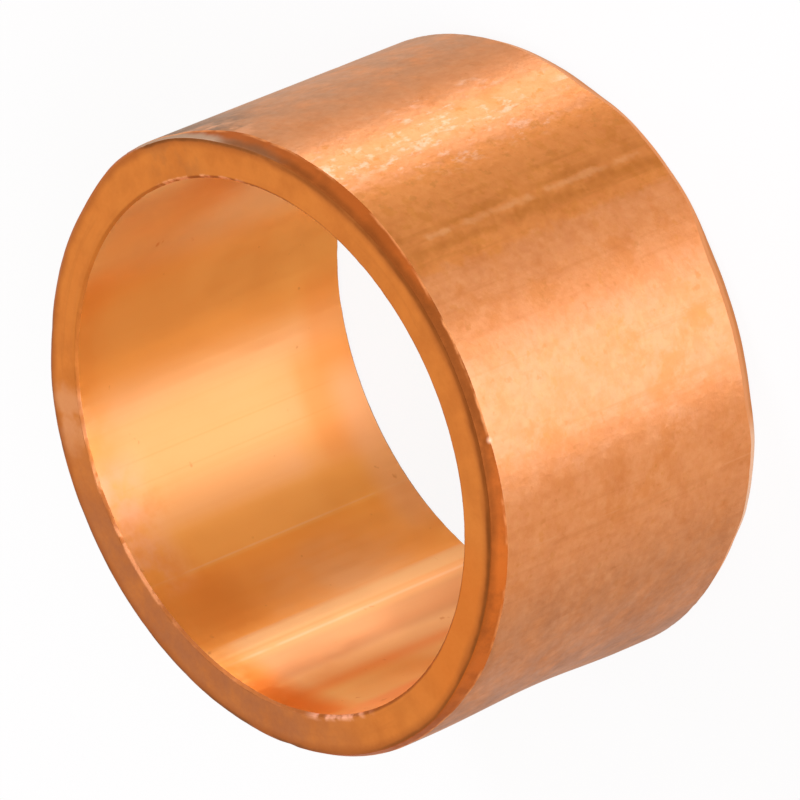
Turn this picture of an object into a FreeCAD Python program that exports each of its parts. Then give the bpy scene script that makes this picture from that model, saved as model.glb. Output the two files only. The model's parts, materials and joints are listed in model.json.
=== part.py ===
import FreeCAD, Part
import os

import Sketcher

# Compression olive for copper tube: a short ring with a straight bore and bevelled ends.
# Millimetres, +Z along the bore, standing on its lower end face at z = 0.

# Driving dimensions: alias, value in millimetres, what it measures.
SIZES = (
    ("tube_diameter", "15.0", "outside of the tube that the olive slides over"),
    ("tube_clearance", "0.05", "gap between tube and bore, on the radius"),
    ("wall_thickness", "1.25", "bore to outer wall, on the radius"),
    ("ring_length", "9.85", "end face to end face"),
    ("bevel_length", "0.46", "outer bevel of each end, along the axis"),
    ("bevel_depth", "0.225", "outer bevel of each end, across the wall"),
    ("bore_break", "0.08", "edge break at each bore mouth, equal legs"),
)

FULL_TURN = 360.0

# Sketcher's numbers for the sketch origin and axes, and for the two ends of a line.
ORIGIN = -1
HORIZONTAL_AXIS = -1
START = 1
END = 2


def make_sheet(doc):
    """Puts the driving dimensions into a spreadsheet, one aliased cell each."""
    sheet = doc.addObject("Spreadsheet::Sheet", "Sizes")
    for row, (alias, value, meaning) in enumerate(SIZES, start=1):
        sheet.set(f"A{row}", alias)
        sheet.set(f"B{row}", value)
        sheet.set(f"C{row}", meaning)
        sheet.setAlias(f"B{row}", alias)
    doc.recompute()
    return sheet


def origin_plane(body, role):
    """Finds one of the body's own origin planes by its role."""
    return next(f for f in body.Origin.OriginFeatures if f.Role == role)


def bind(sketch, name, constraint, expression):
    """Adds a named dimension to a sketch and ties it to the spreadsheet."""
    index = sketch.addConstraint(constraint)
    sketch.renameConstraint(index, name)
    sketch.setExpression(f"Constraints.{name}", expression)


def draw_wall_section(body, sheet):
    """Draws the half section of the wall in the XZ plane, bore side to the left.

    The lines run round the section: lower face, lower bevel, outer wall, upper bevel,
    upper face and bore. Lengths are first drawn from the sheet, then dimensioned.
    """
    sketch = body.newObject("Sketcher::SketchObject", "WallSection")
    sketch.AttachmentSupport = (origin_plane(body, "XZ_Plane"), [""])
    sketch.MapMode = "FlatFace"

    bore = sheet.tube_diameter / 2 + sheet.tube_clearance
    outer = bore + sheet.wall_thickness
    top = sheet.ring_length
    corners = [
        FreeCAD.Vector(bore, 0, 0),
        FreeCAD.Vector(outer - sheet.bevel_depth, 0, 0),
        FreeCAD.Vector(outer, sheet.bevel_length, 0),
        FreeCAD.Vector(outer, top - sheet.bevel_length, 0),
        FreeCAD.Vector(outer - sheet.bevel_depth, top, 0),
        FreeCAD.Vector(bore, top, 0),
    ]
    ends = corners[1:] + corners[:1]
    lines = [sketch.addGeometry(Part.LineSegment(a, b)) for a, b in zip(corners, ends)]
    for line, following in zip(lines, lines[1:] + lines[:1]):
        sketch.addConstraint(Sketcher.Constraint("Coincident", line, END, following, START))

    lower_face, lower_bevel, wall, upper_bevel, upper_face, bore_line = lines
    for line in (lower_face, upper_face):
        sketch.addConstraint(Sketcher.Constraint("Horizontal", line))
    for line in (wall, bore_line):
        sketch.addConstraint(Sketcher.Constraint("Vertical", line))
    sketch.addConstraint(Sketcher.Constraint("PointOnObject", lower_face, START, HORIZONTAL_AXIS))

    def across(first, first_end, second, second_end, length):
        return Sketcher.Constraint("DistanceX", first, first_end, second, second_end, length)

    def along(first, first_end, second, second_end, length):
        return Sketcher.Constraint("DistanceY", first, first_end, second, second_end, length)

    bind(sketch, "bore_radius", across(ORIGIN, START, lower_face, START, bore),
         "Sizes.tube_diameter / 2 + Sizes.tube_clearance")
    bind(sketch, "wall_thickness", across(lower_face, START, wall, START, outer - bore),
         "Sizes.wall_thickness")
    bind(sketch, "ring_length", along(lower_face, START, upper_face, END, top),
         "Sizes.ring_length")
    for name, bevel in (("lower", lower_bevel), ("upper", upper_bevel)):
        narrow, wide = (START, END) if bevel == lower_bevel else (END, START)
        bind(sketch, f"{name}_bevel_depth", across(bevel, narrow, bevel, wide, sheet.bevel_depth),
             "Sizes.bevel_depth")
        bind(sketch, f"{name}_bevel_length", along(bevel, START, bevel, END, sheet.bevel_length),
             "Sizes.bevel_length")
    return sketch


def revolve_ring(body, section):
    """Turns the wall section about the bore axis."""
    ring = body.newObject("PartDesign::Revolution", "TurnedRing")
    ring.Profile = section
    ring.ReferenceAxis = (section, ["V_Axis"])
    ring.Angle = FULL_TURN
    return ring


def bore_mouths(shape):
    """Names the two round edges where the bore, the smallest cylinder, meets the end faces."""
    cylinders = [face for face in shape.Faces if isinstance(face.Surface, Part.Cylinder)]
    bore = min(cylinders, key=lambda face: face.Surface.Radius)
    mouths = [edge for edge in bore.Edges if isinstance(edge.Curve, Part.Circle)]
    return [
        f"Edge{number}"
        for number, edge in enumerate(shape.Edges, start=1)
        if any(edge.isSame(mouth) for mouth in mouths)
    ]


def break_bore_edges(body, ring):
    """Takes the sharp edge off both mouths of the bore."""
    edge_break = body.newObject("PartDesign::Chamfer", "BoreBreak")
    edge_break.Base = (ring, bore_mouths(ring.Shape))
    edge_break.setExpression("Size", "Sizes.bore_break")
    return edge_break


def make_olive_ring(doc, sheet):
    """The whole olive is one solid, cut and bevelled from drawn tube."""
    body = doc.addObject("PartDesign::Body", "OliveRing")
    body.Label = "olive_ring"
    ring = revolve_ring(body, draw_wall_section(body, sheet))
    doc.recompute()
    break_bore_edges(body, ring)
    doc.recompute()
    return body


def check(doc, bodies):
    """Stops the build if a feature failed or a body has no sound solid."""
    for item in doc.Objects:
        if {"Invalid", "Error"} & set(item.State):
            raise RuntimeError(f"{item.Label} failed to build: {item.State}")
    for body in bodies:
        if body.Shape.isNull() or not body.Shape.isValid():
            raise RuntimeError(f"{body.Label} has no valid shape")


def write_steps(bodies):
    """Writes each body to a STEP file under its label."""
    os.makedirs("parts", exist_ok=True)
    for body in bodies:
        body.Shape.exportStep(os.path.join("parts", f"{body.Label}.step"))


doc = FreeCAD.newDocument("CompressionOlive")
sheet = make_sheet(doc)
bodies = [make_olive_ring(doc, sheet)]
doc.recompute()
check(doc, bodies)
write_steps(bodies)
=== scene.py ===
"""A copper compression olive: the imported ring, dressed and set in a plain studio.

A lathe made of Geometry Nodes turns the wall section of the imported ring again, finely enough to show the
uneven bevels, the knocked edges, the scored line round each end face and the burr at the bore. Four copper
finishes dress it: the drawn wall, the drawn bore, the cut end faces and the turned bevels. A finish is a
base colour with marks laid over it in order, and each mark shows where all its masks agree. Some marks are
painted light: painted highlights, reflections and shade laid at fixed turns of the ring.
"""

import functools
import json
import logging
import math
import operator
from collections.abc import Iterable
from dataclasses import dataclass, fields
from enum import Enum

import bpy
from mathutils import Matrix, Vector


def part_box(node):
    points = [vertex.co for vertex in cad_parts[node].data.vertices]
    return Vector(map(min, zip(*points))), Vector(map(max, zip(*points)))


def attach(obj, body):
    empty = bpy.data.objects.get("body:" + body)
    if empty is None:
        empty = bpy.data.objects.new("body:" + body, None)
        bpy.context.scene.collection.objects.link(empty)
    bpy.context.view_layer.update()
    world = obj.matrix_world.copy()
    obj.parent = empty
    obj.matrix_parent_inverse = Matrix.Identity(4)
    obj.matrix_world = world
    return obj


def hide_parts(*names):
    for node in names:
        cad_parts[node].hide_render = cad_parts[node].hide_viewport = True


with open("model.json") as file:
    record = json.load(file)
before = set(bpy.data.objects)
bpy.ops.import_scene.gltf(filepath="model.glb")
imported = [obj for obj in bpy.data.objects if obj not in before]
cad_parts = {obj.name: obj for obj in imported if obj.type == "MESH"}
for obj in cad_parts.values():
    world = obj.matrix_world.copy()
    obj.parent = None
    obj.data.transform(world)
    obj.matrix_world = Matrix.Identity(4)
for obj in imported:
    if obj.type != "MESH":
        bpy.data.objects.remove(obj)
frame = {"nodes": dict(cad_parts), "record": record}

LOG = logging.getLogger("compression_olive")
MM = 0.001
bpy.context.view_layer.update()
HALF_TURN = 180.0
QUARTER_TURN = 90.0

Triple = tuple[float, float, float]
Colour = Triple


class Wire:
    """An output socket that adds Math nodes to its tree when it is used in arithmetic."""

    def __init__(self, bench: "NodeBench", socket: bpy.types.NodeSocket) -> None:
        """Keeps the socket and the bench that owns its tree."""
        self.bench = bench
        self.socket = socket

    def __add__(self, other: "Value") -> "Wire":
        """Sum."""
        return self.bench.math("ADD", self, other)

    def __radd__(self, other: float) -> "Wire":
        """Sum with a number on the left."""
        return self.bench.math("ADD", other, self)

    def __sub__(self, other: "Value") -> "Wire":
        """Difference."""
        return self.bench.math("SUBTRACT", self, other)

    def __rsub__(self, other: float) -> "Wire":
        """Difference from a number."""
        return self.bench.math("SUBTRACT", other, self)

    def __mul__(self, other: "Value") -> "Wire":
        """Product."""
        return self.bench.math("MULTIPLY", self, other)

    def __rmul__(self, other: float) -> "Wire":
        """Product with a number on the left."""
        return self.bench.math("MULTIPLY", other, self)

    def __truediv__(self, other: "Value") -> "Wire":
        """Quotient."""
        return self.bench.math("DIVIDE", self, other)

    def __abs__(self) -> "Wire":
        """Absolute value."""
        return self.bench.math("ABSOLUTE", self)

    def root(self) -> "Wire":
        """Square root."""
        return self.bench.math("SQRT", self)

    def hypot(self, other: "Wire") -> "Wire":
        """Long side of the right-angled triangle with these two short sides."""
        return (self * self + other * other).root()

    def floor(self) -> "Wire":
        """Whole number below."""
        return self.bench.math("FLOOR", self)

    def above(self, limit: "Value") -> "Wire":
        """One where the value is over the limit, zero elsewhere."""
        return self.bench.math("GREATER_THAN", self, limit)

    def ease(self, low: float, high: float) -> "Wire":
        """Smooth step from zero at low to one at high; low may be the larger."""
        return self.bench.ease(self, low, high)


Value = Wire | float
Paint = Wire | Colour


class NodeBench:
    """Adds nodes to one tree, shader or geometry, and wires them up."""

    def __init__(self, tree: bpy.types.NodeTree) -> None:
        """Keeps the tree that the bench works on."""
        self.tree = tree

    def add(self, kind: str, settings: dict | None = None, inputs: dict | None = None) -> bpy.types.Node:
        """Adds one node.

        Args:
            kind: Blender's type name of the node.
            settings: Attributes, set before any socket.
            inputs: Socket identifier or name to a number, a vector, a Wire or a datablock.

        Returns:
            The new node.
        """
        node = self.tree.nodes.new(kind)
        for name, value in (settings or {}).items():
            setattr(node, name, value)
        for name, value in (inputs or {}).items():
            self.feed(self.find(node.inputs, name), value)
        return node

    def wire(self, kind: str, output: str, settings: dict | None = None, inputs: dict | None = None) -> Wire:
        """Adds one node and takes one of its outputs.

        Args:
            kind: Blender's type name of the node.
            output: Identifier or name of the output socket.
            settings: As for add.
            inputs: As for add.

        Returns:
            The output, ready for arithmetic.
        """
        return Wire(self, self.find(self.add(kind, settings, inputs).outputs, output))

    @staticmethod
    def find(sockets: bpy.types.bpy_prop_collection, name: str) -> bpy.types.NodeSocket:
        """Finds a socket by identifier, or else by name."""
        return next((s for s in sockets if s.identifier == name), None) or sockets[name]

    def feed(self, socket: bpy.types.NodeSocket, value: object) -> None:
        """Links a Wire to a socket, or sets the socket's own value.

        Args:
            socket: The input.
            value: A Wire, a number, a vector or a datablock.
        """
        if isinstance(value, Wire):
            self.tree.links.new(value.socket, socket)
        else:
            socket.default_value = value

    def math(self, operation: str, *values: Value) -> Wire:
        """Adds one Math node for a value expression.

        Args:
            operation: Name of the Math operation.
            values: What it works on, one to three values.

        Returns:
            The result.
        """
        inputs = dict(zip(("Value", "Value_001", "Value_002"), values))
        return self.wire("ShaderNodeMath", "Value", {"operation": operation}, inputs)

    def ease(self, value: Wire, low: float, high: float) -> Wire:
        """Smooth step between two limits, falling where low is the larger.

        Args:
            value: What is tested.
            low: Where the result is zero.
            high: Where the result is one.

        Returns:
            The step, from zero to one.
        """
        rising = low < high
        inputs = {
            "Value": value,
            "From Min": min(low, high),
            "From Max": max(low, high),
            "To Min": 0.0 if rising else 1.0,
            "To Max": 1.0 if rising else 0.0,
        }
        return self.wire("ShaderNodeMapRange", "Result", {"interpolation_type": "SMOOTHSTEP"}, inputs)

    def scaled(self, vector: Wire, factors: Triple) -> Wire:
        """Multiplies a vector by one factor along each axis."""
        inputs = {"Vector": vector, "Vector_001": factors}
        return self.wire("ShaderNodeVectorMath", "Vector", {"operation": "MULTIPLY"}, inputs)

    def lengthened(self, vector: Wire, factor: Wire) -> Wire:
        """Multiplies a vector by one number."""
        inputs = {"Vector": vector, "Scale": factor}
        return self.wire("ShaderNodeVectorMath", "Vector", {"operation": "SCALE"}, inputs)

    def moved(self, geometry: Wire, offset: Wire) -> Wire:
        """Shifts the points of a geometry."""
        inputs = {"Geometry": geometry, "Offset": offset}
        return self.wire("GeometryNodeSetPosition", "Geometry", None, inputs)

    def joined(self, x: Value, y: Value, z: Value) -> Wire:
        """Makes a vector of three numbers."""
        return self.wire("ShaderNodeCombineXYZ", "Vector", None, {"X": x, "Y": y, "Z": z})

    def noise(self, vector: Wire, seed: Value, octaves: float, fineness: float) -> Wire:
        """Soft noise between zero and one, a wave for each unit of the vector.

        Args:
            vector: Where it is read.
            seed: Which noise it is.
            octaves: How many finer noises are added.
            fineness: Share of the finer ones.

        Returns:
            The noise value.
        """
        inputs = {"Vector": vector, "W": seed, "Scale": 1.0, "Detail": octaves, "Roughness": fineness}
        return self.wire("ShaderNodeTexNoise", "Fac", {"noise_dimensions": "4D"}, inputs)

    def blend(self, share: Wire, first: Paint, second: Paint, label: str) -> Wire:
        """Mixes two colours.

        Args:
            share: How much of the second shows.
            first: Colour at zero.
            second: Colour at one.
            label: What the node is called in the tree.

        Returns:
            The mixed colour.
        """
        inputs = {"Factor_Float": share, "A_Color": opaque(first), "B_Color": opaque(second)}
        return self.wire("ShaderNodeMix", "Result_Color", {"data_type": "RGBA", "label": label}, inputs)


def opaque(colour: Paint) -> Wire | tuple[float, float, float, float]:
    """Adds full alpha to a plain colour; a Wire passes as it is."""
    return colour if isinstance(colour, Wire) else (*colour, 1.0)


class Edge(Enum):
    """The round edges at each end of the ring."""

    BORE_RIM = "where the bore meets the face"
    CREASE = "where the face meets the bevel"
    WALL_EDGE = "where the bevel meets the wall"


class End(Enum):
    """The two ends of the ring."""

    UPPER = "upper"
    LOWER = "lower"


class Zone(Enum):
    """The four surfaces of the ring, which were made in different ways."""

    WALL = "drawn_wall"
    BORE = "drawn_bore"
    FACE = "cut_face"
    BEVEL = "turned_bevel"


@dataclass(frozen=True)
class RingSizes:
    """The ring's own sizes in metres: plain numbers, or wires inside the lathe."""

    length: Value
    bore_radius: Value
    wall_radius: Value
    face_edge_radius: Value
    bevel_length: Value
    bore_break: Value

    def at(self, edge: Edge, bevel_share: Wire) -> tuple[Value, Value]:
        """Finds an edge where only a share of the full bevel was cut.

        Args:
            edge: Which edge.
            bevel_share: Share of the full bevel.

        Returns:
            Radius of the edge, and how far it lies in from the end of the ring.
        """
        depth = self.wall_radius - self.face_edge_radius
        places = {
            Edge.BORE_RIM: (self.bore_radius, 0.0),
            Edge.CREASE: (self.wall_radius - depth * bevel_share, 0.0),
            Edge.WALL_EDGE: (self.wall_radius, self.bevel_length * bevel_share),
        }
        return places[edge]


class Ground:
    """Where a point of the ring lies, in millimetres and degrees.

    The turn is zero on the side that faces the camera and grows towards -X.
    """

    RAGGED_SEED = 4.7
    MEAN_NOISE = 0.5
    USUAL_SPREAD = 0.25

    def __init__(self, bench: NodeBench, position: Wire, sizes: RingSizes, seed: Value) -> None:
        """Splits the position into radius, turn, height and the way in from the nearest end.

        Args:
            bench: Adds the nodes.
            position: The point, in metres.
            sizes: The ring's sizes.
            seed: Which set of random patterns is used.
        """
        self.bench = bench
        self.sizes = sizes
        self.seed = seed
        self.place = bench.scaled(position, (1.0 / MM,) * 3)
        spot = bench.add("ShaderNodeSeparateXYZ", None, {"Vector": self.place})
        self.x, self.y, self.z = (Wire(bench, spot.outputs[axis]) for axis in "XYZ")
        self.radius = self.x.hypot(self.y)
        self.turn = bench.math("ARCTAN2", self.x * -1.0, self.y * -1.0) * (HALF_TURN / math.pi)
        self.middle = sizes.length / (2.0 * MM)
        self.inset = self.middle - abs(self.z - self.middle)

    def noise(self, waves: float, drawn: float = 1.0, octaves: float = 3.0, fineness: float = 0.55,
              seed: float = 0.0) -> Wire:
        """Soft noise between zero and one.

        Args:
            waves: Waves a millimetre round the ring.
            drawn: How many times longer a wave is along the bore.
            octaves: How many finer noises are added.
            fineness: Share of the finer ones.
            seed: Added to the ground's own seed.

        Returns:
            The noise value.
        """
        stretched = self.bench.scaled(self.place, (waves, waves, waves / drawn))
        return self.bench.noise(stretched, self.seed + seed, octaves, fineness)

    def strayed(self, away: Wire, reach: float, waves: float) -> Wire:
        """Makes a distance uneven, so that a border set by it is ragged.

        Args:
            away: The distance.
            reach: How far it mostly strays either way; zero leaves it as it is.
            waves: Waves a millimetre round the ring.

        Returns:
            The uneven distance.
        """
        if not reach:
            return away
        noise = self.noise(waves, seed=self.RAGGED_SEED)
        return away + (noise - self.MEAN_NOISE) * (reach / self.USUAL_SPREAD)

    @functools.cached_property
    def bevel_share(self) -> Wire:
        """Share of the full bevel that was cut at this turn."""
        return 1.0 - Swell.total(SCANT_BEVEL, self)

    @functools.cached_property
    def outside(self) -> Wire:
        """One on the outer half of the wall's thickness, zero on the bore's half."""
        return self.radius.above((self.sizes.bore_radius + self.sizes.wall_radius) / (2.0 * MM))

    def off_turn(self, turn: float) -> Wire:
        """Degrees between the point and a given turn, either way round."""
        return abs(self.bench.math("WRAP", self.turn - turn, HALF_TURN, -HALF_TURN))

    def arc(self, turn: float) -> Wire:
        """Millimetres round the ring between the point and a given turn."""
        return self.off_turn(turn) * (math.pi / HALF_TURN) * self.radius

    def off_edge(self, edge: Edge) -> Wire:
        """Millimetres between the point and a round edge of its own end."""
        radius, inset = self.sizes.at(edge, self.bevel_share)
        return (self.radius - radius / MM).hypot(self.inset - inset / MM)


class Mask:
    """A share between zero and one at each point of the ring."""

    def over(self, ground: Ground) -> Wire:
        """The share, as a wire."""
        raise NotImplementedError


@dataclass(frozen=True)
class Clouds(Mask):
    """Soft patches of noise, drawn out along the bore by a factor.

    They begin to show where the noise passes start, and show in full where it passes full.
    """

    waves: float
    start: float
    full: float
    drawn: float = 1.0
    octaves: float = 3.0
    fineness: float = 0.55
    seed: float = 0.0

    def over(self, ground: Ground) -> Wire:
        """Share of the patches."""
        noise = ground.noise(self.waves, self.drawn, self.octaves, self.fineness, self.seed)
        return noise.ease(self.start, self.full)


@dataclass(frozen=True)
class TurnedLines(Mask):
    """Fine lines round the bore, as a cutting tool leaves them, which slowly change as they run."""

    waves: float
    start: float
    full: float
    drift: float = 9.0
    drift_waves: float = 0.12
    octaves: float = 3.0
    fineness: float = 0.6

    def over(self, ground: Ground) -> Wire:
        """Share of the lines.

        Args:
            ground: Places on the ring.

        Returns:
            The share.
        """
        drift = ground.noise(self.drift_waves, octaves=1.0) * self.drift
        section = ground.bench.joined(ground.radius * self.waves, ground.inset * self.waves, drift)
        lines = ground.bench.noise(section, ground.seed, self.octaves, self.fineness)
        return lines.ease(self.start, self.full)


@dataclass(frozen=True)
class Sector(Mask):
    """Part of the ring round a turn: full within half_width and gone past the fade, all in degrees."""

    turn: float
    half_width: float
    fade: float
    ragged: float = 0.0
    waves: float = 1.6

    def over(self, ground: Ground) -> Wire:
        """Share of the sector."""
        away = ground.strayed(ground.off_turn(self.turn), self.ragged, self.waves)
        return away.ease(self.half_width + self.fade, self.half_width)


@dataclass(frozen=True)
class AxialLine(Mask):
    """A line along the bore at a turn in degrees, gone at half its width; widths in millimetres."""

    turn: float
    width: float
    ragged: float = 0.0
    waves: float = 1.6

    def over(self, ground: Ground) -> Wire:
        """Share of the line."""
        away = ground.strayed(ground.arc(self.turn), self.ragged, self.waves)
        return away.ease(self.width / 2.0, 0.0)


@dataclass(frozen=True)
class AlongEdge(Mask):
    """A border along a round edge: full within core of it and gone at reach, all in millimetres."""

    edge: Edge
    reach: float
    core: float = 0.0
    ragged: float = 0.0
    waves: float = 2.2

    def over(self, ground: Ground) -> Wire:
        """Share of the border."""
        away = ground.strayed(ground.off_edge(self.edge), self.ragged, self.waves)
        return away.ease(self.reach, self.core)


@dataclass(frozen=True)
class NearEnd(Mask):
    """Full within core of both ends of the ring and gone at reach, in millimetres along the bore."""

    reach: float
    core: float = 0.0

    def over(self, ground: Ground) -> Wire:
        """Share by the way in from the nearest end."""
        return ground.inset.ease(self.reach, self.core)


@dataclass(frozen=True)
class OnEnd(Mask):
    """The half of the ring that belongs to one end."""

    end: End

    def over(self, ground: Ground) -> Wire:
        """One on that half, zero on the other."""
        upper = ground.z.above(ground.middle)
        return upper if self.end is End.UPPER else 1.0 - upper


@dataclass(frozen=True)
class WallSpot(Mask):
    """A round spot on the outer wall: turn in degrees, way in from the end and reach in millimetres."""

    turn: float
    inset: float
    reach: float

    def over(self, ground: Ground) -> Wire:
        """Share of the spot."""
        away = ground.arc(self.turn).hypot(ground.inset - self.inset)
        return away.ease(self.reach, 0.0) * ground.outside


@dataclass(frozen=True)
class Knock(Mask):
    """A spot on the upper wall edge at a turn in degrees, gone at reach in millimetres."""

    turn: float
    reach: float

    def over(self, ground: Ground) -> Wire:
        """Share of the spot."""
        away = ground.arc(self.turn).hypot(ground.off_edge(Edge.WALL_EDGE))
        return away.ease(self.reach, 0.0) * OnEnd(End.UPPER).over(ground)


def overlap(masks: Iterable[Mask], ground: Ground) -> Wire:
    """Product of masks, which shows only where all of them do."""
    return functools.reduce(operator.mul, (mask.over(ground) for mask in masks))


@dataclass(frozen=True)
class Mark:
    """One colour laid over a finish, at most by its share, where all its masks agree."""

    name: str
    colour: Colour
    share: float
    masks: tuple[Mask, ...]

    def lay(self, ground: Ground, under: Paint) -> Wire:
        """Lays the mark over the colour under it."""
        return ground.bench.blend(overlap(self.masks, ground) * self.share, under, self.colour, self.name)


@dataclass(frozen=True)
class Swell:
    """A rise of some value, such as height or roughness, where all its masks agree."""

    amount: float
    masks: tuple[Mask, ...]

    @staticmethod
    def total(swells: Iterable["Swell"], ground: Ground) -> Wire:
        """Sum of several rises."""
        return functools.reduce(operator.add, (overlap(s.masks, ground) * s.amount for s in swells))


ALONG_THE_BORE = 0.25


@dataclass(frozen=True)
class CopperFinish:
    """One look of the copper: base colour, marks, and what varies its roughness and height in millimetres.

    Drawn is how far the gloss spreads along the bore.
    """

    zone: Zone
    colour: Colour
    roughness: float
    drawn: float
    seed: float
    marks: tuple[Mark, ...]
    haze: tuple[Swell, ...]
    relief: tuple[Swell, ...]

    def material(self, sizes: RingSizes) -> bpy.types.Material:
        """Builds the finish as a node material.

        Args:
            sizes: The ring's sizes, for the places of its edges.

        Returns:
            The material.
        """
        skin = bpy.data.materials.new(self.zone.value)
        skin.use_nodes = True
        skin.node_tree.nodes.clear()
        bench = NodeBench(skin.node_tree)
        ground = Ground(bench, bench.wire("ShaderNodeTexCoord", "Object"), sizes, self.seed)
        colour: Paint = self.colour
        for mark in self.marks:
            colour = mark.lay(ground, colour)
        height = Swell.total(self.relief, ground)
        bump = bench.wire("ShaderNodeBump", "Normal", None,
                          {"Strength": 1.0, "Distance": MM, "Height": height})
        shader = bench.wire("ShaderNodeBsdfPrincipled", "BSDF", None, {
            "Base Color": colour,
            "Metallic": 1.0,
            "Roughness": self.roughness + Swell.total(self.haze, ground),
            "Normal": bump,
            "Anisotropic": self.drawn,
            "Anisotropic Rotation": ALONG_THE_BORE,
        })
        bench.add("ShaderNodeOutputMaterial", None, {"Surface": shader})
        return skin


# Pale colour of a painted highlight line.
PAINTED_HIGHLIGHT_COPPER = (1.0, 0.74, 0.5)
GOLDEN_COPPER = (0.85, 0.335, 0.09)
STREAK = (0.66, 0.235, 0.045)
PIT = (0.72, 0.27, 0.065)
CREASE_BROWN = (0.21, 0.06, 0.012)
STAIN = (0.25, 0.16, 0.1)
FINE_LINE = (0.9, 0.38, 0.1)
# Orange of a painted reflection in the bore.
REFLECTED_RIM_ORANGE = (0.95, 0.345, 0.07)
# Deep orange of the bore's painted reflected light.
BORE_REFLECTION_ORANGE = (1.0, 0.46, 0.1)

EVEN_MOTTLE = Clouds(waves=1.5, start=-0.1, full=0.8, octaves=4.0, fineness=0.62)
UPPER_END = OnEnd(End.UPPER)
LOWER_END = OnEnd(End.LOWER)
# The front part of the ring, where the crease is darker.
FRONT_CREASE_SECTOR = Sector(turn=-8.0, half_width=36.0, fade=40.0, ragged=8.0)
# Painted highlight: a pale glint laid on the knock at the upper wall edge, on the wall and the bevel.
PAINTED_KNOCK_GLINT = Mark("painted glint on the knock", (1.0, 0.66, 0.42), 0.85, (Knock(turn=13.6, reach=0.14),))

CUT_HAZE = (
    Swell(0.1, (Clouds(waves=0.8, start=0.2, full=0.8),)),
    Swell(0.1, (Clouds(waves=6.0, start=0.25, full=0.75),)),
)

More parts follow.
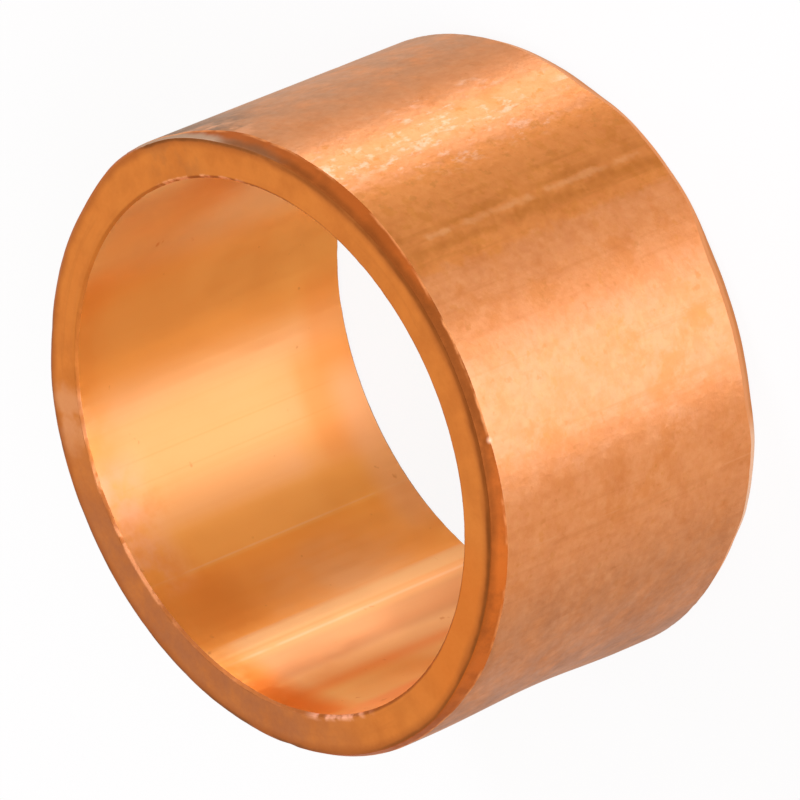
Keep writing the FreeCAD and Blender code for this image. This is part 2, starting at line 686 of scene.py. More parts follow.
DRAWN_WALL = CopperFinish(
    zone=Zone.WALL,
    colour=(0.92, 0.39, 0.15),
    roughness=0.37,
    drawn=1.0,
    seed=1.3,
    marks=(
        # Painted highlight: a paler, creamier tint laid where the front lamps' broad highlight falls on the
        # wall.
        Mark("painted highlight tint", (0.89, 0.415, 0.195), 0.85,
             (Sector(turn=10.5, half_width=8.0, fade=9.0, ragged=3.0, waves=0.8),)),
        Mark("deep mottle", (0.85, 0.33, 0.105), 0.6,
             (Clouds(waves=1.7, start=0.36, full=0.68, octaves=4.0, fineness=0.62),)),
        Mark("pink mottle", (0.96, 0.45, 0.19), 0.35,
             (Clouds(waves=3.4, start=0.46, full=0.66, octaves=4.0, fineness=0.62, seed=3.1),)),
        Mark("grain", (0.83, 0.32, 0.09), 0.24,
             (Clouds(waves=5.5, start=0.5, full=0.66, octaves=2.0, seed=6.5),)),
        Mark("orange blots", (0.84, 0.31, 0.085), 0.6,
             (Clouds(waves=0.75, start=0.54, full=0.66, octaves=5.0, fineness=0.66, seed=2.4),)),
        Mark("draw lines", (0.80, 0.30, 0.09), 0.35,
             (Clouds(waves=6.0, start=0.5, full=0.72, drawn=60.0),)),
        # Painted shade: a deeper golden colour over the dark band between the wall's two highlights.
        Mark("golden painted shade band", (0.90, 0.345, 0.09), 0.8,
             (Sector(turn=-26.5, half_width=8.5, fade=2.0, ragged=1.4, waves=2.2),)),
        Mark("golden mottle", (0.79, 0.30, 0.06), 0.5,
             (Clouds(waves=2.0, start=0.5, full=0.62, octaves=4.0, fineness=0.6, seed=4.0),
              Sector(turn=-27.0, half_width=9.0, fade=4.0))),
        Mark("fine streaks", STREAK, 0.45,
             (Clouds(waves=2.6, start=0.48, full=0.66, drawn=24.0, octaves=5.0, fineness=0.6),
              Sector(turn=-24.0, half_width=5.0, fade=5.0, ragged=1.0),
              Clouds(waves=0.5, start=0.3, full=0.6, seed=6.0))),
        Mark("broad streak", STREAK, 0.65,
             (AxialLine(turn=-21.2, width=0.7, ragged=0.2),
              Clouds(waves=0.8, start=0.36, full=0.58, drawn=2.0))),
        Mark("thin streak", STREAK, 0.45,
             (AxialLine(turn=-24.6, width=0.32, ragged=0.16),
              Clouds(waves=0.8, start=0.42, full=0.6, seed=2.0))),
        Mark("light streak", (0.98, 0.48, 0.2), 0.6,
             (AxialLine(turn=-23.3, width=0.3, ragged=0.09, waves=2.4),
              Clouds(waves=1.0, start=0.44, full=0.6, seed=5.0))),
        # Painted highlight: pale flecks that break up the strip light's highlight on the wall.
        Mark("painted sparkle highlights", (1.0, 0.62, 0.40), 0.6,
             (Clouds(waves=4.4, start=0.51, full=0.65, drawn=2.0, octaves=4.0, fineness=0.65, seed=7.0),
              Clouds(waves=0.7, start=0.36, full=0.58, seed=7.0),
              Sector(turn=-44.0, half_width=6.0, fade=6.0, ragged=2.0))),
        Mark("golden flecks", (0.78, 0.31, 0.08), 0.85,
             (Clouds(waves=2.9, start=0.57, full=0.67, octaves=4.0, fineness=0.6, seed=9.0),
              Sector(turn=-39.0, half_width=8.0, fade=6.0, ragged=3.0))),
        # Painted shade: darker colour that makes the far edge of the broad highlight ragged.
        Mark("ragged edge of the light", (0.82, 0.31, 0.095), 0.55,
             (Sector(turn=23.0, half_width=3.0, fade=4.0, ragged=4.0, waves=0.7),
              Clouds(waves=1.1, start=0.4, full=0.58, seed=1.0))),
        Mark("pits", PIT, 0.45,
             (Clouds(waves=3.3, start=0.62, full=0.73, octaves=2.0),
              Clouds(waves=0.5, start=0.38, full=0.58))),
        Mark("golden specks", GOLDEN_COPPER, 0.55,
             (Clouds(waves=3.0, start=0.61, full=0.70, octaves=2.0, seed=8.0),
              Clouds(waves=0.4, start=0.42, full=0.58, seed=5.0))),
        # A scratch, painted lighter along its line as a highlight.
        Mark("scratch", (0.98, 0.55, 0.28), 0.22,
             (AxialLine(turn=35.5, width=0.09), Clouds(waves=0.9, start=0.42, full=0.6))),
        # Painted shadow beside the scratch.
        Mark("painted shadow beside the scratch", (0.74, 0.27, 0.08), 0.35,
             (AxialLine(turn=36.6, width=0.3), Clouds(waves=0.7, start=0.36, full=0.6))),
        # Partly tarnish, partly painted shade: browner, darker colour on the wall's sides near turns 80 to 90
        # either way, where its reflection darkens.
        Mark("tarnish and painted shade below", (0.47, 0.25, 0.165), 0.8,
             (Sector(turn=79.0, half_width=5.0, fade=44.0), EVEN_MOTTLE)),
        Mark("more tarnish and painted shade below", (0.34, 0.19, 0.135), 0.65,
             (Sector(turn=87.0, half_width=7.0, fade=14.0), EVEN_MOTTLE)),
        Mark("tarnish and painted shade above", (0.43, 0.27, 0.168), 0.8,
             (Sector(turn=-80.0, half_width=4.0, fade=32.0), EVEN_MOTTLE)),
        Mark("more tarnish and painted shade above", (0.36, 0.225, 0.15), 0.4, (Sector(turn=-88.0, half_width=4.0, fade=11.0),)),
        Mark("stain at the end", STAIN, 0.85,
             (Sector(turn=-85.0, half_width=10.0, fade=8.0, ragged=4.0), NearEnd(reach=3.6, core=0.6),
              Clouds(waves=1.0, start=0.26, full=0.48), UPPER_END)),
        # Painted highlight: pink streaks near the upper end at turn -71.
        Mark("painted pink highlights at the end", (1.0, 0.52, 0.28), 0.65,
             (Sector(turn=-71.0, half_width=5.0, fade=5.0, ragged=3.0), NearEnd(reach=1.8),
              Clouds(waves=1.7, start=0.46, full=0.6), UPPER_END)),
        PAINTED_KNOCK_GLINT,
    ),
    haze=(
        Swell(0.1, (Clouds(waves=0.8, start=0.2, full=0.8),)),
        Swell(0.1, (Clouds(waves=5.0, start=0.25, full=0.75),)),
    ),
    relief=(
        Swell(0.008, (Clouds(waves=2.2, start=0.0, full=1.0),)),
        Swell(0.0045, (Clouds(waves=5.5, start=0.0, full=1.0, seed=1.7),)),
        Swell(0.0015, (Clouds(waves=6.0, start=0.0, full=1.0, drawn=60.0),)),
        Swell(0.001, (Clouds(waves=11.0, start=0.0, full=1.0, octaves=2.0),)),
    ),
)

DRAWN_BORE = CopperFinish(
    zone=Zone.BORE,
    colour=(0.98, 0.49, 0.185),
    roughness=0.38,
    drawn=1.0,
    seed=2.6,
    marks=(
        Mark("broad clouds", (0.94, 0.46, 0.135), 0.45,
             (Clouds(waves=0.3, start=0.4, full=0.62, drawn=3.0, octaves=2.0, fineness=0.6),)),
        Mark("draw lines", (0.95, 0.38, 0.09), 0.25,
             (Clouds(waves=5.0, start=0.5, full=0.72, drawn=170.0, fineness=0.6),)),
        # Painted light: a paler tint on the bore's upper side that offsets the deep orange of its bounced
        # light.
        Mark("painted paler light on the upper side", (0.83, 0.56, 0.255), 0.9, (Sector(turn=246.0, half_width=16.0, fade=20.0),)),
        # Painted reflection: a pale streak near turn 111 where a small highlight falls in the bore.
        Mark("painted reflection on the lower side", (1.0, 0.70, 0.28), 0.9, (Sector(turn=111.0, half_width=4.5, fade=5.0),)),
        # Painted highlight: a pale tint just under the strip light's band in the bore.
        Mark("painted highlight tint in the bore", (0.96, 0.64, 0.3), 0.75,
             (Sector(turn=125.5, half_width=2.0, fade=4.0),)),
        # Painted shade: darker colour at the edge of the strip light's band in the bore.
        Mark("edge of the light", (0.74, 0.35, 0.14), 0.8, (Sector(turn=132.0, half_width=3.0, fade=3.5),)),
        # Painted reflection: deep orange on two sides of the bore where its bounced light saturates the
        # colour.
        Mark("orange side", BORE_REFLECTION_ORANGE, 0.9, (Sector(turn=218.0, half_width=8.0, fade=12.0),)),
        Mark("orange by the seam", BORE_REFLECTION_ORANGE, 0.85, (Sector(turn=165.5, half_width=4.0, fade=5.0),)),
        # Painted shade: the dark band of the bore beside the strip light's highlight, with a sharp edge on
        # that side.
        Mark("deep painted shade band", (1.0, 0.4, 0.075), 0.85,
             (Sector(turn=152.6, half_width=8.6, fade=0.9),
              Clouds(waves=0.35, start=0.25, full=0.5, drawn=2.0))),
        # Painted highlight: a soft light band beside the strip light's band in the bore.
        Mark("painted soft highlight line", (0.96, 0.56, 0.23), 0.7, (Sector(turn=141.2, half_width=1.0, fade=1.8),)),
        # Painted highlight: a thin bright line at the core of the strip light's band in the bore.
        Mark("bright line", PAINTED_HIGHLIGHT_COPPER, 0.3,
             (AxialLine(turn=138.0, width=0.18), Clouds(waves=0.6, start=0.28, full=0.45, seed=3.0))),
        # Painted shade: a darker gap between the painted bright line and the soft highlight line.
        Mark("gap beside the bright line", (0.95, 0.42, 0.13), 0.5, (AxialLine(turn=139.5, width=0.2),)),
        Mark("seam", (1.0, 0.6, 0.3), 0.45,
             (AxialLine(turn=162.4, width=0.1), Clouds(waves=0.8, start=0.3, full=0.48))),
        Mark("first thin line", FINE_LINE, 0.35, (AxialLine(turn=183.0, width=0.09),)),
        Mark("second thin line", FINE_LINE, 0.4, (AxialLine(turn=188.0, width=0.1),)),
        # Painted reflection: an orange band that crosses the bore towards the lower end, nearer the rim the
        # further round it runs.
        Mark("orange towards the lower end", (1.0, 0.43, 0.085), 0.4,
             (Sector(turn=168.0, half_width=8.0, fade=8.0), NearEnd(reach=3.3, core=2.5), LOWER_END)),
        Mark("orange further round", REFLECTED_RIM_ORANGE, 0.55,
             (Sector(turn=184.0, half_width=8.0, fade=8.0), NearEnd(reach=2.6, core=1.9), LOWER_END)),
        Mark("orange at the lower rim", REFLECTED_RIM_ORANGE, 0.5,
             (Sector(turn=200.0, half_width=8.0, fade=8.0), NearEnd(reach=1.9, core=1.1), LOWER_END)),
        # Painted reflection: the bore's highlight paler again near the lower rim.
        Mark("pale lower rim", (1.0, 0.52, 0.23), 0.6,
             (Sector(turn=172.0, half_width=13.0, fade=9.0), NearEnd(reach=1.6, core=0.6), LOWER_END)),
        Mark("orange blotch", (0.90, 0.32, 0.055), 0.75,
             (Sector(turn=153.0, half_width=6.0, fade=5.0, ragged=2.0, waves=0.9),
              NearEnd(reach=3.2, core=1.8), Clouds(waves=0.7, start=0.3, full=0.5, seed=1.0), UPPER_END)),
        Mark("orange rim", (0.97, 0.39, 0.08), 0.7,
             (NearEnd(reach=1.5, core=0.3), Sector(turn=168.0, half_width=56.0, fade=14.0),
              Clouds(waves=0.6, start=0.26, full=0.52), UPPER_END)),
        Mark("orange glow at the rim", (0.88, 0.255, 0.035), 0.8,
             (Sector(turn=121.0, half_width=12.0, fade=9.0, ragged=3.0, waves=0.9),
              NearEnd(reach=1.5, core=0.35), Clouds(waves=1.1, start=0.22, full=0.5, octaves=4.0, seed=3.0),
              UPPER_END)),
        Mark("bruised rim", (0.97, 0.49, 0.25), 0.75,
             (Sector(turn=175.0, half_width=11.0, fade=7.0), NearEnd(reach=2.0, core=0.6),
              Clouds(waves=1.0, start=0.3, full=0.56, octaves=4.0), UPPER_END)),
        Mark("blotches by the rim", (0.92, 0.345, 0.07), 0.5,
             (Sector(turn=170.0, half_width=12.0, fade=12.0), NearEnd(reach=3.0, core=1.2),
              Clouds(waves=1.0, start=0.44, full=0.7, octaves=4.0, fineness=0.65, seed=5.0), UPPER_END)),
        Mark("pits", PIT, 0.6, (Clouds(waves=2.6, start=0.70, full=0.76, octaves=2.0),)),
    ),
    haze=(
        Swell(0.1, (Clouds(waves=0.6, start=0.2, full=0.8),)),
        Swell(0.04, (Clouds(waves=4.0, start=0.25, full=0.75, drawn=8.0),)),
    ),
    relief=(
        Swell(0.004, (Clouds(waves=0.7, start=0.0, full=1.0, octaves=2.0),)),
        Swell(0.003, (Clouds(waves=4.0, start=0.0, full=1.0, drawn=130.0, fineness=0.6),)),
    ),
)

CUT_FACE = CopperFinish(
    zone=Zone.FACE,
    colour=(0.69, 0.253, 0.05),
    roughness=0.44,
    drawn=0.0,
    seed=3.9,
    marks=(
        Mark("deep mottle", (0.60, 0.208, 0.04), 0.85, (Clouds(waves=1.1, start=0.36, full=0.68),)),
        Mark("scuffs", (0.58, 0.2, 0.04), 0.35, (TurnedLines(waves=5.0, start=0.52, full=0.72),)),
        Mark("orange side", (0.68, 0.218, 0.034), 0.7, (Sector(turn=54.0, half_width=10.0, fade=16.0),)),
        Mark("browned side", (0.41, 0.16, 0.072), 0.9,
             (Sector(turn=148.0, half_width=26.0, fade=36.0), EVEN_MOTTLE)),
        Mark("pink smear", (0.73, 0.36, 0.17), 0.75,
             (Sector(turn=-159.0, half_width=3.0, fade=6.0, ragged=2.0),
              Clouds(waves=1.4, start=0.3, full=0.55))),
        Mark("rubbed patch", (0.5, 0.19, 0.05), 0.5,
             (Sector(turn=-82.0, half_width=4.0, fade=5.0, ragged=3.0),
              Clouds(waves=1.6, start=0.42, full=0.6))),
        Mark("brown border", (0.40, 0.12, 0.026), 0.7,
             (AlongEdge(Edge.CREASE, reach=0.32, core=0.04, ragged=0.06, waves=1.1), UPPER_END)),
        # Darker brown along the crease, on the front part of the ring.
        Mark("darker in the crease", CREASE_BROWN, 0.7,
             (AlongEdge(Edge.CREASE, reach=0.17, core=0.01, ragged=0.05, waves=1.4), FRONT_CREASE_SECTOR, UPPER_END)),
        Mark("thin dark line", (0.22, 0.075, 0.018), 0.65,
             (AlongEdge(Edge.CREASE, reach=0.11, core=0.02, ragged=0.03, waves=1.4),
              Sector(turn=62.0, half_width=26.0, fade=14.0, ragged=4.0), UPPER_END)),
        Mark("thin dark line above", (0.17, 0.06, 0.016), 0.8,
             (AlongEdge(Edge.CREASE, reach=0.12, core=0.03, ragged=0.03, waves=1.4),
              Sector(turn=-74.0, half_width=13.0, fade=8.0, ragged=4.0), UPPER_END)),
        Mark("dark outer edge", (0.2, 0.075, 0.022), 0.7,
             (AlongEdge(Edge.CREASE, reach=0.14, core=0.03, ragged=0.05, waves=1.6),
              Sector(turn=165.0, half_width=45.0, fade=20.0), Clouds(waves=0.9, start=0.34, full=0.56),
              UPPER_END)),
        Mark("dark rim", (0.33, 0.10, 0.02), 0.8,
             (AlongEdge(Edge.BORE_RIM, reach=0.12, core=0.05, ragged=0.02),
              Sector(turn=62.0, half_width=110.0, fade=90.0))),
        # Painted highlights: pale flecks where the burr at the top of the bore rim catches the light.
        Mark("painted highlights on the burr above", (0.95, 0.47, 0.24), 0.8,
             (AlongEdge(Edge.BORE_RIM, reach=0.135, core=0.07, ragged=0.03, waves=3.0),
              Sector(turn=-76.0, half_width=10.0, fade=5.0), Clouds(waves=2.4, start=0.43, full=0.55),
              UPPER_END)),
        Mark("flecks on the left", (0.86, 0.39, 0.17), 0.55,
             (AlongEdge(Edge.BORE_RIM, reach=0.13, core=0.05, ragged=0.03, waves=2.6),
              Sector(turn=172.0, half_width=14.0, fade=8.0),
              Clouds(waves=2.0, start=0.42, full=0.55, seed=2.0), UPPER_END)),
        # Painted highlights: pale flecks where the burr at the bottom of the bore rim catches the light.
        Mark("painted highlights on the burr below", (0.98, 0.52, 0.33), 0.8,
             (AlongEdge(Edge.BORE_RIM, reach=0.22, core=0.08, ragged=0.06, waves=2.4),
              Sector(turn=102.0, half_width=6.0, fade=6.0), Clouds(waves=1.8, start=0.40, full=0.56),
              UPPER_END)),
    ),
    haze=CUT_HAZE,
    relief=(
        Swell(0.003, (TurnedLines(waves=5.0, start=0.0, full=1.0),)),
        Swell(0.003, (Clouds(waves=3.0, start=0.0, full=1.0),)),
    ),
)

TURNED_BEVEL = CopperFinish(
    zone=Zone.BEVEL,
    colour=(0.46, 0.122, 0.021),
    roughness=0.48,
    drawn=0.0,
    seed=5.2,
    marks=(
        Mark("orange side", (0.62, 0.168, 0.025), 0.9, (Sector(turn=50.0, half_width=12.0, fade=14.0),)),
        Mark("mottle", (0.36, 0.095, 0.017), 0.6,
             (Clouds(waves=1.3, start=0.4, full=0.64, octaves=4.0, fineness=0.6),)),
        Mark("brown patches", CREASE_BROWN, 0.75,
             (Sector(turn=1.0, half_width=10.0, fade=12.0, ragged=6.0),
              AlongEdge(Edge.CREASE, reach=0.68, core=0.28, ragged=0.12))),
        # Darker brown beside the crease, on the front part of the ring.
        Mark("darker by the crease", CREASE_BROWN, 0.7,
             (AlongEdge(Edge.CREASE, reach=0.32, core=0.03, ragged=0.1, waves=1.1), FRONT_CREASE_SECTOR)),
        # Painted highlight: a pale grey-tan line where the narrow bevel at the upper left is seen at grazing.
        Mark("painted grazing highlight on the bevel", (0.5, 0.37, 0.25), 0.8,
             (Sector(turn=-79.0, half_width=10.0, fade=6.0, ragged=3.0),
              AlongEdge(Edge.CREASE, reach=0.3, core=0.1, ragged=0.05), UPPER_END)),
        Mark("dark smear", (0.25, 0.11, 0.045), 0.8,
             (Sector(turn=-61.0, half_width=5.0, fade=6.0, ragged=2.0),
              AlongEdge(Edge.CREASE, reach=0.36, core=0.06, ragged=0.08), UPPER_END)),
        Mark("worn edge", (0.92, 0.4, 0.14), 0.6,
             (AlongEdge(Edge.WALL_EDGE, reach=0.09, core=0.02, ragged=0.03),
              Clouds(waves=1.3, start=0.42, full=0.6))),
        # Painted reflection: the lower end's bevel is painted brighter than the upper end's, for the floor it
        # mirrors, brightest along its wall edge and near turn 41.
        Mark("lower end", (0.70, 0.285, 0.08), 0.9, (LOWER_END,)),
        Mark("painted reflection on the lower edge", (0.82, 0.36, 0.13), 0.9,
             (AlongEdge(Edge.WALL_EDGE, reach=0.34, core=0.16, ragged=0.04), LOWER_END)),
        Mark("painted pale reflection on the lower bevel", (0.86, 0.6, 0.41), 0.75,
             (LOWER_END, Sector(turn=41.0, half_width=8.0, fade=5.0))),
        PAINTED_KNOCK_GLINT,
    ),
    haze=CUT_HAZE,
    relief=(
        Swell(0.003, (TurnedLines(waves=7.0, start=0.0, full=1.0),)),
        Swell(0.0025, (Clouds(waves=4.0, start=0.0, full=1.0),)),
    ),
)

FINISHES = (DRAWN_WALL, DRAWN_BORE, CUT_FACE, TURNED_BEVEL)

# Shares of the full bevel that were left uncut.
SCANT_BEVEL = (
    Swell(0.7, (Sector(turn=-90.0, half_width=5.0, fade=22.0), UPPER_END)),
    Swell(0.35, (Sector(turn=0.0, half_width=6.0, fade=30.0), UPPER_END)),
    Swell(0.4, (Sector(turn=140.0, half_width=62.0, fade=18.0), UPPER_END)),
    Swell(0.55, (Sector(turn=-21.0, half_width=8.0, fade=13.0), LOWER_END)),
    Swell(0.35, (Sector(turn=41.0, half_width=7.0, fade=9.0), LOWER_END)),
)
# Depths of wear, and the height of the burr, in millimetres.
NICKED_WALL_EDGE = Swell(0.012, (Clouds(waves=2.3, start=0.5, full=0.72),
                                 AlongEdge(Edge.WALL_EDGE, reach=0.16)))
SHALLOW_DENTS = Swell(0.012, (Clouds(waves=0.55, start=0.55, full=0.8, octaves=2.0),))
UNEVEN_CREASE = Swell(0.01, (Clouds(waves=1.2, start=0.42, full=0.66, seed=2.0),
                             AlongEdge(Edge.CREASE, reach=0.14)))
PRESSED_SIDE = Swell(0.12, (WallSpot(turn=92.0, inset=4.9, reach=3.9),))
KNOCKS = (
    Swell(0.03, (Knock(turn=13.6, reach=0.22),)),
    Swell(0.03, (Knock(turn=-58.0, reach=0.3),)),
    Swell(0.05, (Knock(turn=118.0, reach=0.4),)),
)
BURR = Swell(0.03, (Clouds(waves=3.1, start=0.45, full=0.75, fineness=0.65),
                    AlongEdge(Edge.BORE_RIM, reach=0.14)))


@dataclass
class OliveRing:
    """The ring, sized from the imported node, with the fine relief of its cut and worn edges.

    The lathe cuts each run of the section the finer, the longer it is: cut_rate times the root of its length
    in millimetres.
    """

    sizes: RingSizes
    score_width: float = 0.10 * MM
    score_depth: float = 0.013 * MM
    corner_radius: float = 0.025 * MM
    corner_steps: int = 2
    turn_steps: int = 672
    cut_rate: float = 9.0
    seed: float = 7.5
    crisp_angle: float = 12.0
    bevel_spread: float = 3.0
    same_height: float = 0.01 * MM

    @classmethod
    def from_frame(cls) -> "OliveRing":
        """Reads the ring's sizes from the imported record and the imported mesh.

        Returns:
            The ring, not yet built.
        """
        mounts = {mount["name"]: mount["dims"] for mount in frame["record"]["mounts"]}
        low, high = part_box("olive_ring")
        length = high.z - low.z
        corners = [vertex.co for vertex in frame["nodes"]["olive_ring"].data.vertices]
        on_top = [corner for corner in corners if math.isclose(corner.z, high.z, abs_tol=cls.same_height)]
        return cls(RingSizes(
            length=length,
            bore_radius=mounts["tube_bore"]["r_mm"] * MM,
            wall_radius=mounts["outer_wall"]["r_mm"] * MM,
            face_edge_radius=max(corner.xy.length for corner in on_top),
            bevel_length=(length - mounts["outer_wall"]["length_mm"] * MM) / 2.0,
            bore_break=(length - mounts["tube_bore"]["length_mm"] * MM) / 2.0,
        ))

    def half_section(self) -> list[tuple[float, float]]:
        """Corners of the wall section above mid length, from the bore to the outer wall.

        Returns:
            Pairs of radius and height above mid length.
        """
        own = self.sizes
        half = own.length / 2.0
        lip = self.score_width / 4.0
        slope = own.bevel_length / (own.wall_radius - own.face_edge_radius)
        return [
            (own.bore_radius, half - own.bore_break),
            (own.bore_radius + own.bore_break, half),
            (own.face_edge_radius - self.score_width, half),
            (own.face_edge_radius - self.score_width / 2.0, half - self.score_depth),
            (own.face_edge_radius + lip, half - lip * slope),
            (own.wall_radius, half - own.bevel_length),
        ]

    def section(self) -> bpy.types.Mesh:
        """Draws the whole wall section as a closed wire, radius from the bore along X, height down Y.

        Returns:
            The wire mesh.
        """
        upper = self.half_section()
        lower = [(radius, -height) for radius, height in reversed(upper)]
        middle = self.sizes.length / 2.0
        points = [(r - self.sizes.bore_radius, -(middle + h), 0.0) for r, h in lower + upper]
        loop = [(i, (i + 1) % len(points)) for i in range(len(points))]
        wire = bpy.data.meshes.new("wall_section")
        wire.from_pydata(points, loop, [])
        return wire

    def given(self) -> dict[str, object]:
        """Values for the lathe's inputs: the ring's sizes, the lathe's settings and the finishes.

        Returns:
            Input name to value.
        """
        values: dict[str, object] = {size.name: getattr(self.sizes, size.name) for size in fields(RingSizes)}
        values.update(corner_radius=self.corner_radius, cut_rate=self.cut_rate, seed=self.seed,
                      corner_steps=self.corner_steps, turn_steps=self.turn_steps)
        values.update({finish.zone.value: finish.material(self.sizes) for finish in FINISHES})
        return values

    @staticmethod
    def lathe(given: dict[str, object]) -> bpy.types.NodeTree:
        """Builds the lathe, with an input for each given value.

        Args:
            given: Input name to value; the value's type sets the input's.

        Returns:
            The Geometry Nodes tree.
        """
        kinds = {int: "NodeSocketInt", float: "NodeSocketFloat", bpy.types.Material: "NodeSocketMaterial"}
        tree = bpy.data.node_groups.new("olive_lathe", "GeometryNodeTree")
        tree.interface.new_socket("section", in_out="INPUT", socket_type="NodeSocketGeometry")
        for name, value in given.items():
            tree.interface.new_socket(name, in_out="INPUT", socket_type=kinds[type(value)])
        tree.interface.new_socket("ring", in_out="OUTPUT", socket_type="NodeSocketGeometry")
        bench = NodeBench(tree)
        ports = {port.name: Wire(bench, port) for port in bench.add("NodeGroupInput").outputs}
        sizes = RingSizes(**{size.name: ports[size.name] for size in fields(RingSizes)})
        here = bench.wire("GeometryNodeInputPosition", "Position")
        ground = Ground(bench, here, sizes, ports["seed"])
        ring = OliveRing.turned(bench, ports, here)
        ring = OliveRing.bevelled(ground, ring)
        ring = OliveRing.worn(ground, ring)
        ring = bench.wire("GeometryNodeRealizeInstances", "Geometry", None, {"Geometry": ring})
        ring = OliveRing.dressed(ground, ports, ring)
        bench.add("NodeGroupOutput", None, {"ring": ring})
        return tree

    @staticmethod
    def turned(bench: NodeBench, ports: dict[str, Wire], here: Wire) -> Wire:
        """Rounds the section's corners, cuts its runs and turns it round the bore.

        Args:
            bench: Adds the nodes.
            ports: The lathe's inputs.
            here: Position of a point.

        Returns:
            The turned mesh.
        """
        outline = bench.wire("GeometryNodeMeshToCurve", "Curve", None, {"Mesh": ports["section"]})
        outline = bench.wire("GeometryNodeFilletCurve", "Curve", {"mode": "POLY"}, {
            "Curve": outline,
            "Count": ports["corner_steps"],
            "Radius": ports["corner_radius"],
            "Limit Radius": True,
        })
        following = bench.wire("GeometryNodeOffsetPointInCurve", "Point Index", None, {"Offset": 1})
        there = bench.wire("GeometryNodeFieldAtIndex", "Value", {"data_type": "FLOAT_VECTOR"},
                           {"Value": here, "Index": following})
        run = bench.wire("ShaderNodeVectorMath", "Value", {"operation": "DISTANCE"},
                         {"Vector": here, "Vector_001": there})
        cuts = ((run / MM).root() * ports["cut_rate"]).floor()
        outline = bench.wire("GeometryNodeSubdivideCurve", "Curve", None, {"Curve": outline, "Cuts": cuts})
        path = bench.wire("GeometryNodeCurvePrimitiveCircle", "Curve", None,
                          {"Resolution": ports["turn_steps"], "Radius": ports["bore_radius"]})
        return bench.wire("GeometryNodeCurveToMesh", "Mesh", None, {"Curve": path, "Profile Curve": outline})

    @staticmethod
    def bevelled(ground: Ground, ring: Wire) -> Wire:
        """Draws the bevel towards the sharp corner where less of it was cut.

        A point's distance from the corner is counted in bevels: one on the bevel, more on the wall and
        the face.

        Args:
            ground: Places on the ring.
            ring: The turned mesh.

        Returns:
            The mesh with its uneven bevels.
        """
        bench = ground.bench
        own = ground.sizes
        across = own.wall_radius / MM - ground.radius
        bevel_depth = (own.wall_radius - own.face_edge_radius) / MM
        bevels = across / bevel_depth + ground.inset / (own.bevel_length / MM)
        drawn = bevels.ease(OliveRing.bevel_spread, 1.0) * (1.0 - ground.bevel_share) * MM
        outward = across / ground.radius
        endward = ground.inset * (2.0 * ground.z.above(ground.middle) - 1.0)
        to_corner = bench.joined(ground.x * outward, ground.y * outward, endward)
        offset = bench.lengthened(to_corner, drawn)
        return bench.moved(ring, offset)

    @staticmethod
    def worn(ground: Ground, ring: Wire) -> Wire:
        """Sinks the nicks, dents, knocks and the pressed side, and raises the burr inwards.

        Args:
            ground: Places on the ring.
            ring: The bevelled mesh.

        Returns:
            The worn mesh.
        """
        bench = ground.bench
        sunk = Swell.total((NICKED_WALL_EDGE, SHALLOW_DENTS, UNEVEN_CREASE, PRESSED_SIDE, *KNOCKS), ground)
        normal = bench.wire("GeometryNodeInputNormal", "Normal")
        axis_to_point = bench.joined(ground.x, ground.y, 0.0)
        outward = bench.wire("ShaderNodeVectorMath", "Vector", {"operation": "NORMALIZE"},
                             {"Vector": axis_to_point})
        for direction, depth in ((normal, sunk), (outward, Swell.total((BURR,), ground))):
            offset = bench.lengthened(direction, depth * -MM)
            ring = bench.moved(ring, offset)
        return ring

    @staticmethod
    def dressed(ground: Ground, ports: dict[str, Wire], ring: Wire) -> Wire:
        """Sets the finish of each zone.

        Args:
            ground: Places on the ring.
            ports: The lathe's inputs.
            ring: The worn mesh.

        Returns:
            The dressed mesh.
        """
        own = ground.sizes
        crease_radius, _ = own.at(Edge.CREASE, ground.bevel_share)
        _, bevel_length = own.at(Edge.WALL_EDGE, ground.bevel_share)
        off_bevel = ground.inset.above(bevel_length / MM)
        off_break = ground.inset.above(own.bore_break / MM)
        chosen = {
            Zone.FACE: True,
            Zone.BORE: (1.0 - ground.outside) * off_break,
            Zone.BEVEL: ground.radius.above(crease_radius / MM) * (1.0 - off_bevel),
            Zone.WALL: ground.outside * off_bevel,
        }
        for zone, selection in chosen.items():
            inputs = {"Geometry": ring, "Material": ports[zone.value], "Selection": selection}
            ring = ground.bench.wire("GeometryNodeSetMaterial", "Geometry", None, inputs)
        return ring

    def build(self) -> bpy.types.Object:
        """Turns the section on the lathe and keeps the result as a plain mesh.

        Returns:
            The ring's object, at the origin, riding on the frame's one body.
        """
        blank = bpy.data.objects.new("olive_blank", self.section())
        bpy.context.scene.collection.objects.link(blank)
        given = self.given()
        turning = blank.modifiers.new("lathe", "NODES")
        turning.node_group = self.lathe(given)
        for socket in turning.node_group.interface.items_tree:
            if socket.name in given:
                turning[socket.identifier] = given[socket.name]
        result = blank.evaluated_get(bpy.context.evaluated_depsgraph_get())
        mesh = bpy.data.meshes.new_from_object(result)
        bpy.data.objects.remove(blank)
        mesh.name = "olive_body"
        mesh.polygons.foreach_set("use_smooth", [True] * len(mesh.polygons))
        mesh.set_sharp_from_angle(angle=math.radians(self.crisp_angle))
        ring = bpy.data.objects.new("olive_body", mesh)
        bpy.context.scene.collection.objects.link(ring)
        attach(ring, "root")
        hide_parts("olive_ring")
        return ring


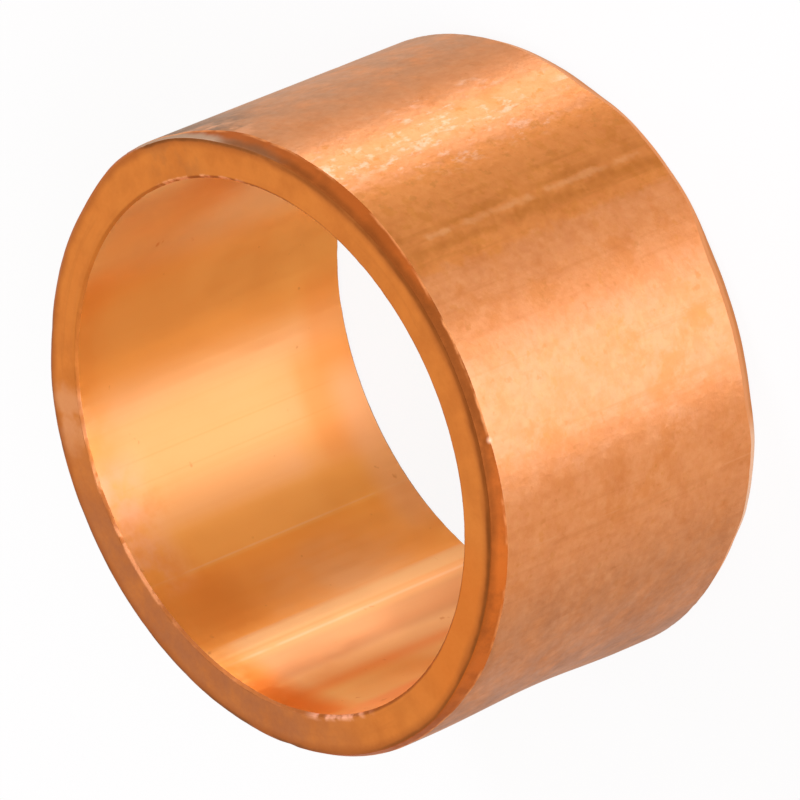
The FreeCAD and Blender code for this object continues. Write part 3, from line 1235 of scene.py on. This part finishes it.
@dataclass(frozen=True)
class SoftBox:
    """A rectangular studio lamp that faces the ring: angles in degrees, lengths in metres."""

    name: str
    azimuth: float
    elevation: float
    distance: float
    width: float
    height: float
    brightness: float
    colour: Colour

    def place(self, target: Vector) -> bpy.types.Object:
        """Hangs the lamp round the target.

        Args:
            target: What it faces.

        Returns:
            The lamp.
        """
        light = bpy.data.lights.new(self.name, "AREA")
        light.shape = "RECTANGLE"
        light.size = self.width
        light.size_y = self.height
        light.energy = self.brightness * self.width * self.height * math.pi
        light.color = self.colour
        lamp = bpy.data.objects.new(self.name, light)
        turn = math.radians(self.azimuth)
        lift = math.radians(self.elevation)
        away = Vector((math.sin(turn) * math.cos(lift), -math.cos(turn) * math.cos(lift), math.sin(lift)))
        lamp.location = target + away * self.distance
        lamp.rotation_euler = (-away).to_track_quat("-Z", "Y").to_euler()
        bpy.context.scene.collection.objects.link(lamp)
        return lamp


COOL_WHITE = (0.92, 1.0, 1.28)
WARM_WHITE = (1.0, 0.95, 0.88)
ROSY_WHITE = (1.18, 1.02, 1.12)
LAMPS = (
    SoftBox("strip_light", azimuth=86.0, elevation=36.0, distance=0.5, width=0.095, height=0.25,
            brightness=11.5, colour=COOL_WHITE),
    SoftBox("front_box", azimuth=-21.0, elevation=36.0, distance=0.5, width=0.30, height=0.2,
            brightness=7.3, colour=COOL_WHITE),
    SoftBox("front_wing", azimuth=5.0, elevation=36.0, distance=0.5, width=0.15, height=0.2,
            brightness=3.2, colour=COOL_WHITE),
    SoftBox("front_fill", azimuth=-22.0, elevation=36.0, distance=0.6, width=1.8, height=0.3,
            brightness=0.75, colour=ROSY_WHITE),
    SoftBox("side_card", azimuth=140.0, elevation=36.0, distance=0.5, width=0.1, height=0.2,
            brightness=2.0, colour=COOL_WHITE),
    SoftBox("back_panel", azimuth=180.0, elevation=40.0, distance=0.6, width=1.3, height=0.45,
            brightness=0.38, colour=WARM_WHITE),
)


@dataclass
class Studio:
    """A plain pale floor, even light from all round and the lamps."""

    floor_height: float = -0.01 * MM
    floor_size: float = 4.0
    floor_colour: Colour = (0.72, 0.72, 0.72)
    floor_white_seen: float = 0.9
    floor_white_mirrored: float = 0.7
    room_colour: Colour = (0.69, 0.56, 0.43)

    def lay_floor(self) -> bpy.types.Object:
        """Lays the floor just under the ring: matt, mixed with plain white where it is seen or mirrored.

        Returns:
            The floor.
        """
        edge = self.floor_size / 2.0
        corners = [(-edge, -edge), (edge, -edge), (edge, edge), (-edge, edge)]
        mesh = bpy.data.meshes.new("studio_floor")
        mesh.from_pydata([(x, y, self.floor_height) for x, y in corners], [], [(0, 1, 2, 3)])
        paint = bpy.data.materials.new("pale_floor")
        paint.use_nodes = True
        paint.node_tree.nodes.clear()
        bench = NodeBench(paint.node_tree)
        matt = bench.wire("ShaderNodeBsdfDiffuse", "BSDF", None, {"Color": opaque(self.floor_colour)})
        white = bench.wire("ShaderNodeEmission", "Emission", None, {"Strength": 1.0})
        ray = bench.add("ShaderNodeLightPath")
        seen = Wire(bench, ray.outputs["Is Camera Ray"]) * self.floor_white_seen
        mirrored = Wire(bench, ray.outputs["Is Glossy Ray"]) * self.floor_white_mirrored
        pale = bench.wire("ShaderNodeMixShader", "Shader", None,
                          {"Fac": seen + mirrored, "Shader": matt, "Shader_001": white})
        bench.add("ShaderNodeOutputMaterial", None, {"Surface": pale})
        mesh.materials.append(paint)
        floor = bpy.data.objects.new("studio_floor", mesh)
        bpy.context.scene.collection.objects.link(floor)
        return floor

    def light_room(self, target: Vector) -> None:
        """Sets the even light and hangs the lamps.

        Args:
            target: What the lamps face.
        """
        world = bpy.data.worlds.new("studio_room")
        world.use_nodes = True
        world.node_tree.nodes.clear()
        bench = NodeBench(world.node_tree)
        glow = bench.wire("ShaderNodeBackground", "Background", None, {"Color": opaque(self.room_colour)})
        bench.add("ShaderNodeOutputWorld", None, {"Surface": glow})
        bpy.context.scene.world = world
        for lamp in LAMPS:
            LOG.info("lamp %s hung", lamp.place(target).name)


@dataclass(frozen=True)
class PhotoCamera:
    """The photograph's camera, as fitted to the ring's outline: angles in degrees, distance in metres."""

    elevation: float = 38.507
    roll: float = -112.629
    distance: float = 345.7 * MM
    lens_mm: float = 580.78
    sensor_mm: float = 36.0
    frame_pixels: float = 800.0
    face_centre_pixel: tuple[float, float] = (266.6, 448.2)
    view_depth: float = 10.0

    def place(self, face_centre: Vector) -> bpy.types.Object:
        """Sets the camera so that the ring's upper face lands where the photograph has it.

        Args:
            face_centre: Centre of the ring's upper end face.

        Returns:
            The camera, made the scene's own.
        """
        optics = bpy.data.cameras.new("photo_camera")
        optics.lens = self.lens_mm
        optics.sensor_width = self.sensor_mm
        optics.clip_end = self.view_depth
        camera = bpy.data.objects.new("photo_camera", optics)
        tilt = Matrix.Rotation(math.radians(QUARTER_TURN - self.elevation), 3, "X")
        turn = tilt @ Matrix.Rotation(math.radians(self.roll), 3, "Z")
        per_pixel = self.distance * self.sensor_mm / self.lens_mm / self.frame_pixels
        right = (self.face_centre_pixel[0] - self.frame_pixels / 2.0) * per_pixel
        up = (self.frame_pixels / 2.0 - self.face_centre_pixel[1]) * per_pixel
        camera.location = face_centre - turn @ Vector((right, up, -self.distance))
        camera.rotation_euler = turn.to_euler()
        bpy.context.scene.collection.objects.link(camera)
        bpy.context.scene.camera = camera
        return camera


def main() -> None:
    """Builds the ring, then the studio and the camera."""
    logging.basicConfig(level=logging.INFO)
    bpy.context.scene.view_settings.view_transform = "Standard"
    ring = OliveRing.from_frame()
    piece = ring.build()
    LOG.info("piece %s: %d faces", piece.name, len(piece.data.polygons))
    studio = Studio()
    LOG.info("stage %s laid", studio.lay_floor().name)
    studio.light_room(Vector((0.0, 0.0, ring.sizes.length / 2.0)))
    camera = PhotoCamera().place(Vector((0.0, 0.0, ring.sizes.length)))
    LOG.info("camera %s set", camera.name)


if __name__ == "__main__":
    main()
